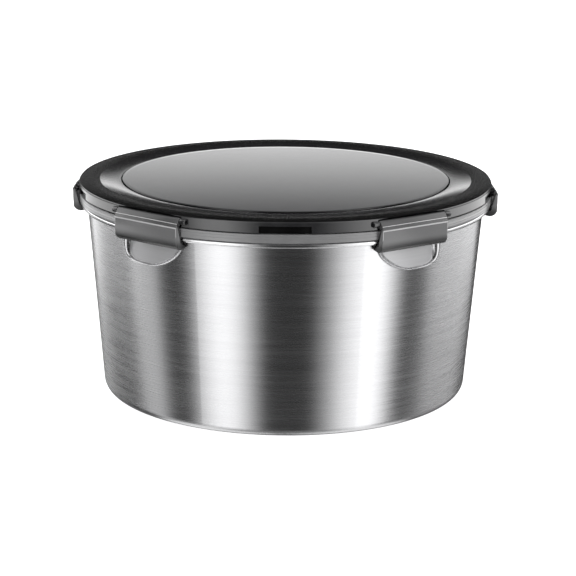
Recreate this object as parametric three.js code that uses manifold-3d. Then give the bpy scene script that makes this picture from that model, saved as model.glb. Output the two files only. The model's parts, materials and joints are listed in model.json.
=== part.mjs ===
// Round steel bowl with a flat lid that is held by snap latches.
// Millimetres, +Z up, origin at the middle of the underside of the bowl, front at -Y.
import * as THREE from 'three';
import { mergeVertices } from 'three/addons/utils/BufferGeometryUtils.js';
import Module from 'manifold-3d';

// Shared fit: the gap that neighbouring pieces keep
const FIT_GAP = 0.3;

// Steel bowl
const SHEET = 0.8;
const BASE_RADIUS = 98.7;
const RIM_RADIUS = 106.8;
const WALL_HEIGHT = 101.3;
const BASE_EDGE_RADIUS = 5;
const BEAD_RADIUS = 1.3;
const BEAD_REACH = 3.5;
const LIP_HEIGHT = 3.3;

// Finger recess pressed into the wall below each latch
const RECESS_WIDTH = 41;
const RECESS_HEIGHT = 14.7;
const RECESS_DEPTH = 2.8;
const RECESS_STRAIGHT = 4;
const RECESS_BELOW_BEAD = 1.3;
const RECESS_ROUNDNESS = 0.65;

// Collar pushed over the lip of the bowl
const COLLAR_HEIGHT = 4.7;
const COLLAR_OVERHANG = 0.7;
const COLLAR_INNER_WALL = 1.2;
const COLLAR_CHAMFER = 0.5;

// Lid frame: skirt, crown, band around the panel, plug
const SKIRT_HEIGHT = 6;
const SKIRT_WALL = 1.8;
const SKIRT_OVERHANG = 0.2;
const EDGE_RADIUS = 1.2;
const CROWN_RISE = 0.7;
const CROWN_WIDTH = 11.2;
const BAND_WIDTH = 11.7;
const BAND_STEP = 0.3;
const BAND_SINK = 0.3;
const ROOF_THICKNESS = 2.2;
const PLUG_DEPTH = 5.6;
const PLUG_WALL = 2;
const FLANGE_THICKNESS = 0.9;
const FLANGE_GAP = 0.6;

// Notches in the lower edge of the skirt
const NOTCH_HEIGHT = 3.6;
const NOTCH_WIDTH = 25.8;
const SIDE_NOTCH_WIDTH = 17;
const SIDE_NOTCH_ANGLE = 74.4;
const NOTCH_TURN = 1.6;

// Panel let into the lid
const PANEL_THICKNESS = 2.2;
const PANEL_PROUD = 0.1;
const PANEL_CHAMFER = 0.4;
const LEDGE_WIDTH = 6;
const LEDGE_THICKNESS = 1.6;

// Ring seal in the groove of the plug
const SEAL_HEIGHT = 2.5;
const SEAL_WIDTH = 2.7;
const SEAL_LIP = 0.6;

// Latches and their hinges
const LATCH_COUNT = 6;
const FRONT_LATCH_SPREAD = 73.6;
const LATCH_LENGTH = 41.4;
const LATCH_WALL = 1.4;
const LATCH_GAP = 0.4;
const LATCH_END_GAP = 0.4;
const LATCH_BOTTOM_ROUND = 4;
const LATCH_CORNER_ROUND = 4;
const CREASE_DROP = 2.7;
const ARM_DROP = 0.6;
const HOOK_HEIGHT = 2.3;
const HOOK_RISE = 1;
const HOOK_GAP = 0.45;
const HINGE_INSET = 1.8;
const HINGE_DROP = 3;
const KNUCKLE_RADIUS = 1.7;
const KNUCKLE_GAP = 0.4;
const PIN_RADIUS = 0.7;
const PIN_RECESS = 0.4;
const EAR_RADIUS = 1.9;
const EAR_LENGTH = 3.2;
const POCKET_WALL = 1.3;
const POCKET_SETBACK = 0.2;

// Fineness of the round forms
const ROUND_SEGMENTS = 60;
const ARC_DIVISIONS = 2;
const CURVE_DIVISIONS = 6;
const MERGE_TOLERANCE = 1e-4;

// Levels, from the table up
const beadTop = WALL_HEIGHT + 2 * BEAD_RADIUS;
const lipTop = beadTop + LIP_HEIGHT;
const collarBottom = beadTop + FIT_GAP;
const collarTop = collarBottom + COLLAR_HEIGHT;
const skirtBottom = collarTop + FIT_GAP;
const edgeTop = skirtBottom + SKIRT_HEIGHT;
const crownTop = edgeTop + CROWN_RISE;
const roofUnderside = edgeTop - ROOF_THICKNESS;
const bandFloor = edgeTop - BAND_SINK;
const panelTop = bandFloor + PANEL_PROUD;
const panelBottom = panelTop - PANEL_THICKNESS;
const ledgeTop = panelBottom - FIT_GAP;
const ledgeBottom = ledgeTop - LEDGE_THICKNESS;
const plugBottom = skirtBottom - PLUG_DEPTH;
const grooveBottom = plugBottom + FLANGE_THICKNESS;
const grooveTop = grooveBottom + SEAL_HEIGHT + 2 * FIT_GAP;
const hingeHeight = edgeTop - HINGE_DROP;
const creaseHeight = hingeHeight - CREASE_DROP;
const hookTop = WALL_HEIGHT - FIT_GAP;
const latchBottom = hookTop - HOOK_HEIGHT;

// Radii, from the wall of the bowl out and in
const taper = (RIM_RADIUS - BASE_RADIUS) / WALL_HEIGHT;
const lean = Math.atan(taper);
const lipInner = RIM_RADIUS - SHEET;
const beadOuter = RIM_RADIUS + BEAD_REACH;
const collarOuter = beadOuter + COLLAR_OVERHANG;
const collarInner = lipInner - FIT_GAP - COLLAR_INNER_WALL;
const skirtOuter = collarOuter + SKIRT_OVERHANG;
const skirtInner = skirtOuter - SKIRT_WALL;
const crownInner = skirtOuter - CROWN_WIDTH;
const bandInner = crownInner - BAND_WIDTH;
const panelRadius = bandInner - FIT_GAP;
const ledgeInner = bandInner - LEDGE_WIDTH;
const flangeOuter = collarInner - FLANGE_GAP;
const sealOuter = collarInner - FIT_GAP;
const sealInner = sealOuter - SEAL_WIDTH;
const plugOuter = sealInner - FIT_GAP;
const plugInner = plugOuter - PLUG_WALL;
const latchInner = skirtOuter + LATCH_GAP;
const latchOuter = latchInner + LATCH_WALL;
const hingeReach = skirtOuter - HINGE_INSET;
const pocketBack = hingeReach - KNUCKLE_RADIUS - KNUCKLE_GAP;
const pocketHalf = LATCH_LENGTH / 2 + LATCH_END_GAP;
const earEnd = pocketHalf + EAR_LENGTH;
const hookInner = RIM_RADIUS + HOOK_GAP;

// Angles round the bowl, in degrees from the front, for the latches and the notches
const latchStep = (360 - FRONT_LATCH_SPREAD) / (LATCH_COUNT - 1);
const latchAngles = Array.from({ length: LATCH_COUNT }, (_, i) => FRONT_LATCH_SPREAD / 2 + i * latchStep);
const notches = [
  { angle: NOTCH_TURN, width: NOTCH_WIDTH },
  { angle: NOTCH_TURN + SIDE_NOTCH_ANGLE, width: SIDE_NOTCH_WIDTH },
  { angle: NOTCH_TURN + 180, width: NOTCH_WIDTH },
  { angle: NOTCH_TURN - SIDE_NOTCH_ANGLE, width: SIDE_NOTCH_WIDTH },
];

const wasm = await Module();
wasm.setup();

// A closed geometry as a solid that can be joined and cut
function solidOf(geometry) {
  const bare = geometry.clone();
  bare.deleteAttribute('normal');
  bare.deleteAttribute('uv');
  const merged = mergeVertices(bare, MERGE_TOLERANCE);
  const corners = merged.index.array;
  const triangles = [];
  for (let i = 0; i < corners.length; i += 3) {
    const [a, b, c] = corners.slice(i, i + 3);
    if (a !== b && b !== c && c !== a) triangles.push(a, b, c);
  }
  return new wasm.Manifold(new wasm.Mesh({
    numProp: 3,
    vertProperties: Float32Array.from(merged.attributes.position.array),
    triVerts: Uint32Array.from(triangles),
  }));
}

// A solid back as a geometry
function geometryOf(solid) {
  const mesh = solid.getMesh();
  const geometry = new THREE.BufferGeometry();
  geometry.setAttribute('position', new THREE.BufferAttribute(Float32Array.from(mesh.vertProperties), 3));
  geometry.setIndex(new THREE.BufferAttribute(Uint32Array.from(mesh.triVerts), 1));
  geometry.computeVertexNormals();
  return geometry;
}

// A half section, radius across and height up, spun round the axis of the bowl
function spun(section) {
  const geometry = new THREE.LatheGeometry(section.getPoints(ARC_DIVISIONS), ROUND_SEGMENTS);
  return geometry.rotateX(Math.PI / 2);
}

// A section of reach from the axis and height, pulled sideways by half each way, facing +X
function pulledAcross(section, half) {
  const geometry = new THREE.ExtrudeGeometry(section, {
    depth: 2 * half,
    bevelEnabled: false,
    curveSegments: CURVE_DIVISIONS,
  });
  geometry.translate(0, 0, -half);
  return geometry.rotateX(Math.PI / 2);
}

// A front view of width and height, pushed outwards from one reach to another, facing +X
function pushedOut(view, from, to) {
  const geometry = new THREE.ExtrudeGeometry(view, {
    depth: to - from,
    bevelEnabled: false,
    curveSegments: CURVE_DIVISIONS,
  });
  geometry.translate(0, 0, from);
  const sideways = new THREE.Vector3(0, 1, 0);
  const up = new THREE.Vector3(0, 0, 1);
  const outwards = new THREE.Vector3(1, 0, 0);
  return geometry.applyMatrix4(new THREE.Matrix4().makeBasis(sideways, up, outwards));
}

// The turn about the axis that takes +X to an angle counted from the front
function turnTo(angle) {
  return THREE.MathUtils.degToRad(angle) - Math.PI / 2;
}

// Solids of one geometry placed at several angles
function around(geometry, angles) {
  return angles.map((angle) => solidOf(geometry.clone().rotateZ(turnTo(angle))));
}

function joined(solid, additions) {
  return additions.reduce((sum, addition) => sum.add(addition), solid);
}

function cut(solid, cutters) {
  return cutters.reduce((rest, cutter) => rest.subtract(cutter), solid);
}

function rectangle(left, bottom, right, top) {
  const outline = new THREE.Shape();
  outline.moveTo(left, bottom);
  outline.lineTo(right, bottom);
  outline.lineTo(right, top);
  outline.lineTo(left, top);
  outline.closePath();
  return outline;
}

function hingeCircle(radius) {
  const outline = new THREE.Shape();
  outline.absarc(hingeReach, hingeHeight, radius, 0, 2 * Math.PI, false);
  return outline;
}

function wallRadius(height) {
  return BASE_RADIUS + height * taper;
}

// Steel bowl

// The outside of the bowl from the middle of the base up to the bead
function outsideOfBowl() {
  const outline = new THREE.Path();
  const edgeCentre = wallRadius(BASE_EDGE_RADIUS) - BASE_EDGE_RADIUS / Math.cos(lean);
  outline.moveTo(0, 0);
  outline.lineTo(edgeCentre, 0);
  outline.absarc(edgeCentre, BASE_EDGE_RADIUS, BASE_EDGE_RADIUS, -Math.PI / 2, -lean, false);
  outline.lineTo(RIM_RADIUS, WALL_HEIGHT);
  return { outline, edgeCentre };
}

function bowlSection() {
  const { outline, edgeCentre } = outsideOfBowl();
  const beadCentre = beadOuter - BEAD_RADIUS;
  outline.lineTo(beadCentre, WALL_HEIGHT);
  outline.absarc(beadCentre, WALL_HEIGHT + BEAD_RADIUS, BEAD_RADIUS, -Math.PI / 2, Math.PI / 2, false);
  outline.lineTo(RIM_RADIUS, beadTop);
  outline.lineTo(RIM_RADIUS, lipTop);
  outline.lineTo(lipInner, lipTop);
  outline.lineTo(lipInner, WALL_HEIGHT);
  outline.absarc(edgeCentre, BASE_EDGE_RADIUS, BASE_EDGE_RADIUS - SHEET, -lean, -Math.PI / 2, true);
  outline.lineTo(0, SHEET);
  return outline;
}

function filledBowlSection() {
  const { outline } = outsideOfBowl();
  outline.lineTo(0, WALL_HEIGHT);
  return outline;
}

// The outline of a finger recess, or of the sheet behind it when grown by the sheet
function recessView(growth) {
  const half = RECESS_WIDTH / 2 + growth;
  const top = WALL_HEIGHT - RECESS_BELOW_BEAD + growth;
  const shoulder = WALL_HEIGHT - RECESS_BELOW_BEAD - RECESS_STRAIGHT;
  const bottom = WALL_HEIGHT - RECESS_BELOW_BEAD - RECESS_HEIGHT - growth;
  const pullAcross = RECESS_ROUNDNESS * half;
  const pullDown = shoulder - RECESS_ROUNDNESS * (shoulder - bottom);
  const outline = new THREE.Shape();
  outline.moveTo(-half, top);
  outline.lineTo(-half, shoulder);
  outline.bezierCurveTo(-half, pullDown, -pullAcross, bottom, 0, bottom);
  outline.bezierCurveTo(pullAcross, bottom, half, pullDown, half, shoulder);
  outline.lineTo(half, top);
  outline.closePath();
  return outline;
}

// The space inside the wall when it is set in by a depth
function setInCone(depth) {
  const section = new THREE.Path();
  section.moveTo(0, 0);
  section.lineTo(wallRadius(0) - depth, 0);
  section.lineTo(RIM_RADIUS - depth, WALL_HEIGHT);
  section.lineTo(0, WALL_HEIGHT);
  return solidOf(spun(section));
}

function bowlGeometry() {
  const recesses = around(pushedOut(recessView(0), 0, beadOuter), latchAngles);
  const backings = around(pushedOut(recessView(SHEET), 0, beadOuter), latchAngles);
  const filled = solidOf(spun(filledBowlSection()));
  const recessFloor = setInCone(RECESS_DEPTH);
  const recessBack = setInCone(RECESS_DEPTH + SHEET);
  const liners = backings.map((backing) => backing.subtract(recessBack).intersect(filled));
  const cutters = recesses.map((recess) => recess.subtract(recessFloor));
  return geometryOf(cut(joined(solidOf(spun(bowlSection())), liners), cutters));
}

// Collar

function collarGeometry() {
  const slotInner = lipInner - FIT_GAP;
  const slotOuter = RIM_RADIUS + FIT_GAP;
  const slotTop = lipTop + FIT_GAP;
  const section = new THREE.Path();
  section.moveTo(collarInner, collarBottom);
  section.lineTo(slotInner, collarBottom);
  section.lineTo(slotInner, slotTop);
  section.lineTo(slotOuter, slotTop);
  section.lineTo(slotOuter, collarBottom);
  section.lineTo(collarOuter - COLLAR_CHAMFER, collarBottom);
  section.lineTo(collarOuter, collarBottom + COLLAR_CHAMFER);
  section.lineTo(collarOuter, collarTop - COLLAR_CHAMFER);
  section.lineTo(collarOuter - COLLAR_CHAMFER, collarTop);
  section.lineTo(collarInner + COLLAR_CHAMFER, collarTop);
  section.lineTo(collarInner, collarTop - COLLAR_CHAMFER);
  section.closePath();
  return geometryOf(solidOf(spun(section)));
}

// Lid frame

function lidSection() {
  const section = new THREE.Path();
  const edgeCentre = skirtOuter - EDGE_RADIUS;
  section.moveTo(ledgeInner, ledgeBottom);
  section.lineTo(plugInner, ledgeBottom);
  section.lineTo(plugInner, plugBottom);
  section.lineTo(flangeOuter, plugBottom);
  section.lineTo(flangeOuter, grooveBottom);
  section.lineTo(plugOuter, grooveBottom);
  section.lineTo(plugOuter, grooveTop);
  section.lineTo(flangeOuter, grooveTop);
  section.lineTo(flangeOuter, grooveTop + FLANGE_THICKNESS);
  section.lineTo(plugOuter, grooveTop + FLANGE_THICKNESS);
  section.lineTo(plugOuter, roofUnderside);
  section.lineTo(skirtInner, roofUnderside);
  section.lineTo(skirtInner, skirtBottom);
  section.lineTo(skirtOuter, skirtBottom);
  section.lineTo(skirtOuter, edgeTop - EDGE_RADIUS);
  section.absarc(edgeCentre, edgeTop - EDGE_RADIUS, EDGE_RADIUS, 0, Math.PI / 2, false);
  section.quadraticCurveTo((edgeCentre + crownInner) / 2, crownTop, crownInner, crownTop);
  section.lineTo(crownInner, crownTop - BAND_STEP);
  section.quadraticCurveTo((crownInner + bandInner) / 2, bandFloor, bandInner, bandFloor);
  section.lineTo(bandInner, ledgeTop);
  section.lineTo(ledgeInner, ledgeTop);
  section.closePath();
  return section;
}

// The room for a latch: open outwards, with a round hollow behind the knuckle
function pocketSection() {
  const hollow = KNUCKLE_RADIUS + KNUCKLE_GAP;
  const below = skirtBottom - FIT_GAP;
  const above = crownTop + FIT_GAP;
  const mouth = Math.acos(-POCKET_SETBACK / hollow);
  const section = new THREE.Shape();
  section.moveTo(pocketBack, below);
  section.lineTo(latchOuter, below);
  section.lineTo(latchOuter, above);
  section.lineTo(hingeReach - POCKET_SETBACK, above);
  section.absarc(hingeReach, hingeHeight, hollow, mouth, Math.PI, false);
  section.closePath();
  return section;
}

function lidGeometry() {
  const backWall = rectangle(pocketBack - POCKET_WALL, skirtBottom, pocketBack, roofUnderside + FIT_GAP);
  const walls = around(pulledAcross(backWall, earEnd), latchAngles);
  const ears = around(pulledAcross(hingeCircle(EAR_RADIUS), earEnd), latchAngles);
  const pockets = around(pulledAcross(pocketSection(), pocketHalf), latchAngles);
  const bores = around(pulledAcross(hingeCircle(PIN_RADIUS + FIT_GAP), earEnd + EAR_LENGTH), latchAngles);
  const notchCutters = notches.flatMap(({ angle, width }) => {
    const view = rectangle(-width / 2, skirtBottom - FIT_GAP, width / 2, skirtBottom + NOTCH_HEIGHT);
    return around(pushedOut(view, skirtInner - SKIRT_WALL, skirtOuter + SKIRT_WALL), [angle]);
  });
  const body = joined(solidOf(spun(lidSection())), [...walls, ...ears]);
  return geometryOf(cut(body, [...pockets, ...bores, ...notchCutters]));
}

// Panel

function panelGeometry() {
  const section = new THREE.Path();
  section.moveTo(0, panelBottom);
  section.lineTo(panelRadius, panelBottom);
  section.lineTo(panelRadius, panelTop - PANEL_CHAMFER);
  section.lineTo(panelRadius - PANEL_CHAMFER, panelTop);
  section.lineTo(0, panelTop);
  return geometryOf(solidOf(spun(section)));
}

// Seal with two lips towards the collar

function sealGeometry() {
  const bottom = grooveBottom + FIT_GAP;
  const top = bottom + SEAL_HEIGHT;
  const section = new THREE.Path();
  section.moveTo(sealInner, bottom);
  section.lineTo(sealOuter - SEAL_LIP, bottom);
  section.lineTo(sealOuter, bottom + SEAL_LIP);
  section.lineTo(sealOuter - SEAL_LIP, (bottom + top) / 2);
  section.lineTo(sealOuter, top - SEAL_LIP);
  section.lineTo(sealOuter - SEAL_LIP, top);
  section.lineTo(sealInner, top);
  section.closePath();
  return geometryOf(solidOf(spun(section)));
}

// Latches: knuckle, arm down to a crease, flat face, hook under the bead

// The angle on the knuckle where a line from a point touches it, above or below the line to the pin
function touchAngle(reach, height, side) {
  const across = reach - hingeReach;
  const up = height - hingeHeight;
  return Math.atan2(up, across) + side * Math.acos(KNUCKLE_RADIUS / Math.hypot(across, up));
}

function latchSection() {
  const tip = Math.sqrt(hookInner ** 2 - (LATCH_LENGTH / 2) ** 2) - FIT_GAP;
  const faceBottom = latchOuter - LATCH_BOTTOM_ROUND;
  const armUnderside = creaseHeight - ARM_DROP;
  const armTopTouch = touchAngle(latchOuter, creaseHeight, 1);
  const armUnderTouch = touchAngle(latchInner, armUnderside, -1);
  const section = new THREE.Shape();
  section.moveTo(faceBottom, latchBottom);
  section.absarc(faceBottom, latchBottom + LATCH_BOTTOM_ROUND, LATCH_BOTTOM_ROUND, -Math.PI / 2, 0, false);
  section.lineTo(latchOuter, creaseHeight);
  section.absarc(hingeReach, hingeHeight, KNUCKLE_RADIUS, armTopTouch, armUnderTouch, false);
  section.lineTo(latchInner, armUnderside);
  section.lineTo(latchInner, hookTop);
  section.lineTo(tip, hookTop);
  section.lineTo(tip, latchBottom + HOOK_RISE);
  section.closePath();
  section.holes.push(hingeCircle(PIN_RADIUS + FIT_GAP));
  return section;
}

// What is taken off a lower corner of the flat face; side is 1 or -1
function cornerView(side) {
  const end = LATCH_LENGTH / 2;
  const centre = end - LATCH_CORNER_ROUND;
  const round = latchBottom + LATCH_CORNER_ROUND;
  const outline = new THREE.Shape();
  outline.moveTo(side * centre, latchBottom - FIT_GAP);
  outline.lineTo(side * (end + FIT_GAP), latchBottom - FIT_GAP);
  outline.lineTo(side * (end + FIT_GAP), round);
  outline.lineTo(side * end, round);
  const from = side > 0 ? 0 : Math.PI;
  outline.absarc(side * centre, round, LATCH_CORNER_ROUND, from, -Math.PI / 2, side > 0);
  outline.closePath();
  return outline;
}

function latchGeometry() {
  const clear = new THREE.Path();
  clear.moveTo(0, latchBottom - FIT_GAP);
  clear.lineTo(hookInner, latchBottom - FIT_GAP);
  clear.lineTo(hookInner, hookTop + FIT_GAP);
  clear.lineTo(0, hookTop + FIT_GAP);
  const corners = [1, -1].map((side) => pushedOut(cornerView(side), latchInner, latchOuter + FIT_GAP));
  const body = solidOf(pulledAcross(latchSection(), LATCH_LENGTH / 2));
  return geometryOf(cut(body, [solidOf(spun(clear)), ...corners.map(solidOf)]));
}

function pinGeometry() {
  return geometryOf(solidOf(pulledAcross(hingeCircle(PIN_RADIUS), earEnd - PIN_RECESS)));
}

// Finishes

const brushedSteel = new THREE.MeshStandardMaterial({ color: 0xc2c3c6, roughness: 0.35, metalness: 1 });
const pinSteel = new THREE.MeshStandardMaterial({ color: 0x9a9b9e, roughness: 0.3, metalness: 1 });
const greyPlastic = new THREE.MeshStandardMaterial({ color: 0xb4b4b5, roughness: 0.45, metalness: 0 });
const blackPlastic = new THREE.MeshStandardMaterial({ color: 0x17171a, roughness: 0.25, metalness: 0 });
const smokePlastic = new THREE.MeshStandardMaterial({ color: 0x5b5c5f, roughness: 0.3, metalness: 0 });
const greyGlass = new THREE.MeshStandardMaterial({ color: 0x76787b, roughness: 0.1, metalness: 0 });
const blackRubber = new THREE.MeshStandardMaterial({ color: 0x202022, roughness: 0.7, metalness: 0 });

// Assembly

const bowl = new THREE.Group();

function addPiece(name, geometry, material, angle) {
  const mesh = new THREE.Mesh(geometry, material);
  mesh.name = name;
  if (angle !== undefined) mesh.rotation.z = turnTo(angle);
  bowl.add(mesh);
}

addPiece('bowl_shell', bowlGeometry(), brushedSteel);
addPiece('rim_collar', collarGeometry(), greyPlastic);
addPiece('lid_frame', lidGeometry(), blackPlastic);
addPiece('lid_panel', panelGeometry(), greyGlass);
addPiece('lid_seal', sealGeometry(), blackRubber);
const latchShape = latchGeometry();
const pinShape = pinGeometry();
latchAngles.forEach((angle, i) => {
  addPiece(`latch_${i + 1}`, latchShape, smokePlastic, angle);
  addPiece(`hinge_pin_${i + 1}`, pinShape, pinSteel, angle);
});

export default bowl;
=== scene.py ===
# Brushed steel bowl with a black latched lid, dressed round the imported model.
# Outlines are in millimetres and finished meshes in metres; +Z is up and the front is at -Y.
import json
import math

import bpy
import numpy as np
from mathutils import Matrix, Vector


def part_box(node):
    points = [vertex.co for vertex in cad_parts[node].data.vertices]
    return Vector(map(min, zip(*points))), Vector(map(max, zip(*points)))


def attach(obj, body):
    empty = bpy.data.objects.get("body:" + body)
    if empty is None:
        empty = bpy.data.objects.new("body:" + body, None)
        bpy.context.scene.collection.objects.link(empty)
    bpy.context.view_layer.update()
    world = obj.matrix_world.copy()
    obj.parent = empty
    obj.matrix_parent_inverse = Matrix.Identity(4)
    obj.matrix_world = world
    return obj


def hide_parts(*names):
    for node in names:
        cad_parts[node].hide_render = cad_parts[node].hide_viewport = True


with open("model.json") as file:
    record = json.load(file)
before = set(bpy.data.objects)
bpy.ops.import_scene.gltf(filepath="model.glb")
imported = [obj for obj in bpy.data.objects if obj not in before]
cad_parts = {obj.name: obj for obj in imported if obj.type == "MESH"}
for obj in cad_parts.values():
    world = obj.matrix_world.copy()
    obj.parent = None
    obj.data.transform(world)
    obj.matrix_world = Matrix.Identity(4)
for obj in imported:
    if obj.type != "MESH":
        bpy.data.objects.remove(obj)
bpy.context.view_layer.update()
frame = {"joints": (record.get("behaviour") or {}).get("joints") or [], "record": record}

MM = 0.001

# Sizes that the frame gives, in millimetres


def corners(node):
    return [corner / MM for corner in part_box(node)]


bodies = frame["record"]["behaviour"]["bodies"]
hinges = [joint for joint in frame["joints"] if joint["type"] == "hinge"]
hinge_point = Vector(hinges[0]["pos_m"]) / MM
hinge_reach = hinge_point.xy.length
hinge_height = hinge_point.z
swing = math.radians(hinges[0]["range_deg"][1])
bead_outer = corners("bowl_shell")[1].x
lip_top = corners("bowl_shell")[1].z
collar_bottom, collar_top = (corner.z for corner in corners("rim_collar"))
collar_outer = corners("rim_collar")[1].x
panel_bottom, panel_top = (corner.z for corner in corners("lid_panel"))
panel_radius = corners("lid_panel")[1].x
seal_bottom, seal_top = (corner.z for corner in corners("lid_seal"))
seal_outer = corners("lid_seal")[1].x
plug_bottom, crown_top = (corner.z for corner in corners("lid_frame"))

# How finely the meshes are made; points closer than MERGE, in metres, become one
ARC_STEP = math.radians(11)
LEAST_STEPS = 2
FINE_COLUMNS = 288
SMOOTH_ANGLE = math.radians(38)
MERGE = 1e-7

# Sizes in millimetres from here on: the clearance between pieces, and a length as good as none
FIT_GAP = 0.3
NEAR = 0.001

# Steel bowl
SHEET = 0.8
BASE_RADIUS = 98.7
RIM_RADIUS = 106.8
WALL_HEIGHT = 101.3
BASE_EDGE = 5
BEAD_HEIGHT = 2.6
BEAD_ROUND = 1.29
LIP_ROUND = 0.36

# Finger recesses: the lowest place lies beside the middle of the latch, away from the front
RECESS_SHIFT = 4
RECESS_OUTER_HALF = 19.8
RECESS_INNER_HALF = 22.5
RECESS_OUTER_SQUARENESS = 4.5
RECESS_INNER_SQUARENESS = 1.6
RECESS_TOP = 101
RECESS_SHOULDER = 97.5
RECESS_BOTTOM = 84.9
RECESS_DEPTH = 4.6
RECESS_FOOT_DEPTH = 1.2
RECESS_LIP = 5
RECESS_LIP_HEIGHT = 2.4
RECESS_HOLLOW = 1
RECESS_SLOPE = math.radians(66)
RECESS_MARGIN = 1.5

# Columns of the bowl across and between the recesses, and the heights of its rows
RECESS_COLUMNS = 120
PLAIN_COLUMNS = 10
LIP_ROW = 0.16
OUTER_ROW = 0.45
INNER_ROW = 0.9

# Collar, with fine lines at two shares of its height
COLLAR_INNER_WALL = 1.2
COLLAR_ROUND = 0.3
COLLAR_FALL = 0.25
COLLAR_FALL_WIDTH = 3
COLLAR_LINES = (0.36, 0.68)
COLLAR_LINE_DEPTH = 0.12
COLLAR_LINE_HALF = 0.22
COLLAR_LINE_EDGE = 0.06

# Lid
SKIRT_OVERHANG = 0.2
SKIRT_HEIGHT = 6
SKIRT_WALL = 1.8
SKIRT_ROUND = 0.3
SKIRT_FLAT_EDGE = 0.25
EDGE_ROUND = 1.2
CROWN_WIDTH = 11.2
CROWN_RIDGE = 6.4
CROWN_SAG = 0.5
CROWN_ROUND = 18
BAND_WIDTH = 11.2
BAND_SINK = 1.35
BAND_BEND = 1.45
BAND_STEPS = 14
ROOF_THICKNESS = 2.2
LEDGE_WIDTH = 6
LEDGE_THICKNESS = 1.6
PLUG_WALL = 2
FLANGE_THICKNESS = 0.9
FLANGE_GAP = 0.6
POCKET_WALL = 1.3
SMALL_ROUND = 0.3

# Panel, with rings at some shares of its bevelled edge, and seal
PANEL_EDGE_WIDTH = 1.8
PANEL_EDGE_DROP = 0.0141
PANEL_EDGE_ROUND = 0.1
PANEL_EDGE_RINGS = (0.1, 0.92, 1)
SEAL_WIDTH = 2.7
SEAL_LIP = 0.6

# Notches in the skirt, at angles in degrees from the front
NOTCH_HEIGHT = 3.6
# The notches stop short of the skirt's inner face; the thin back left there is a dark sheet of painted shade
NOTCH_DEPTH = 1.5
NOTCH_SKIN = 0.12
NOTCH_WIDTH = 25.8
SIDE_NOTCH_WIDTH = 17
SIDE_NOTCH_ANGLE = 74.4
NOTCH_TURN = 1.6

# Latches, with a rib between two shares of the arm
LATCH_HALF = 20.7
LATCH_WALL = 1.4
LATCH_GAP = 0.4
LATCH_END_GAP = 0.4
LATCH_BOTTOM_ROUND = 4
LATCH_END_ROUND = 0.4
BLOCK_DROP = 0.7
FACET_WIDTH = 3.8
FACET_DEPTH = 0.8
FACE_INSET = 0.22
RIDGE_HEIGHT = 0.7
RIB_START = 0.43
RIB_STOP = 0.5
RIB_HEIGHT = 0.18
CREASE_DROP = 2.7
ARM_DROP = 0.6
HOOK_HEIGHT = 3.6
HOOK_RISE = 1
HOOK_GAP = 0.45

# Hinges of the latches
KNUCKLE_RADIUS = 1.7
KNUCKLE_GAP = 0.4
PIN_RADIUS = 0.7
PIN_RECESS = 1.5
PIN_BEVEL = 0.15
EAR_RADIUS = 1.5
EAR_LENGTH = 3.2
EAR_ROUND = 0.35

# Levels and radii that follow from them
wall_taper = (RIM_RADIUS - BASE_RADIUS) / WALL_HEIGHT
bead_top = WALL_HEIGHT + BEAD_HEIGHT
skirt_bottom = collar_top + FIT_GAP
edge_top = skirt_bottom + SKIRT_HEIGHT
roof_underside = edge_top - ROOF_THICKNESS
band_floor = crown_top - BAND_SINK
ledge_top = panel_bottom - FIT_GAP
ledge_bottom = ledge_top - LEDGE_THICKNESS
groove_bottom = plug_bottom + FLANGE_THICKNESS
groove_top = seal_top + FIT_GAP
crease_height = hinge_height - CREASE_DROP
hook_top = WALL_HEIGHT - FIT_GAP
latch_bottom = hook_top - HOOK_HEIGHT
collar_inner = RIM_RADIUS - SHEET - FIT_GAP - COLLAR_INNER_WALL
skirt_outer = collar_outer + SKIRT_OVERHANG
skirt_inner = skirt_outer - SKIRT_WALL
crown_inner = skirt_outer - CROWN_WIDTH
band_inner = crown_inner - BAND_WIDTH
ledge_inner = band_inner - LEDGE_WIDTH
flange_outer = collar_inner - FLANGE_GAP
seal_inner = seal_outer - SEAL_WIDTH
plug_outer = seal_inner - FIT_GAP
plug_inner = plug_outer - PLUG_WALL
latch_inner = skirt_outer + LATCH_GAP
latch_outer = latch_inner + LATCH_WALL
pocket_back = hinge_reach - KNUCKLE_RADIUS - KNUCKLE_GAP
pocket_half = LATCH_HALF + LATCH_END_GAP
ear_end = pocket_half + EAR_LENGTH
hook_inner = RIM_RADIUS + HOOK_GAP


def side_angle(joint):
    """The angle about +Z, counted from +X, at which a latch sits."""
    x, y, _ = joint["pos_m"]
    return math.atan2(y, x)


latch_turns = [side_angle(joint) for joint in hinges]
notches = [
    (math.radians(NOTCH_TURN + angle) - math.pi / 2, width)
    for angle, width in (
        (0, NOTCH_WIDTH),
        (SIDE_NOTCH_ANGLE, SIDE_NOTCH_WIDTH),
        (180, NOTCH_WIDTH),
        (-SIDE_NOTCH_ANGLE, SIDE_NOTCH_WIDTH),
    )
]


# Modelling helpers


def rounded(corner_list):
    """The points of a closed outline whose corners are rounded by the radius that each one carries."""
    points = []
    count = len(corner_list)
    for i, (across, up, radius) in enumerate(corner_list):
        here = Vector((across, up))
        if radius == 0:
            points.append(here)
            continue
        before = (Vector(corner_list[i - 1][:2]) - here).normalized()
        after = (Vector(corner_list[(i + 1) % count][:2]) - here).normalized()
        turn = math.pi - before.angle(after)
        centre = here + (before + after).normalized() * radius / math.cos(turn / 2)
        spoke = here + before * radius * math.tan(turn / 2) - centre
        way = math.copysign(1, before.y * after.x - before.x * after.y)
        steps = max(LEAST_STEPS, math.ceil(turn / ARC_STEP * min(radius, 1)))
        for k in range(steps + 1):
            angle = way * turn * k / steps
            points.append(centre + Matrix.Rotation(angle, 2) @ spoke)
    return points


def rectangle(left, bottom, right, top):
    return [(left, bottom), (right, bottom), (right, top), (left, top)]


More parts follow.
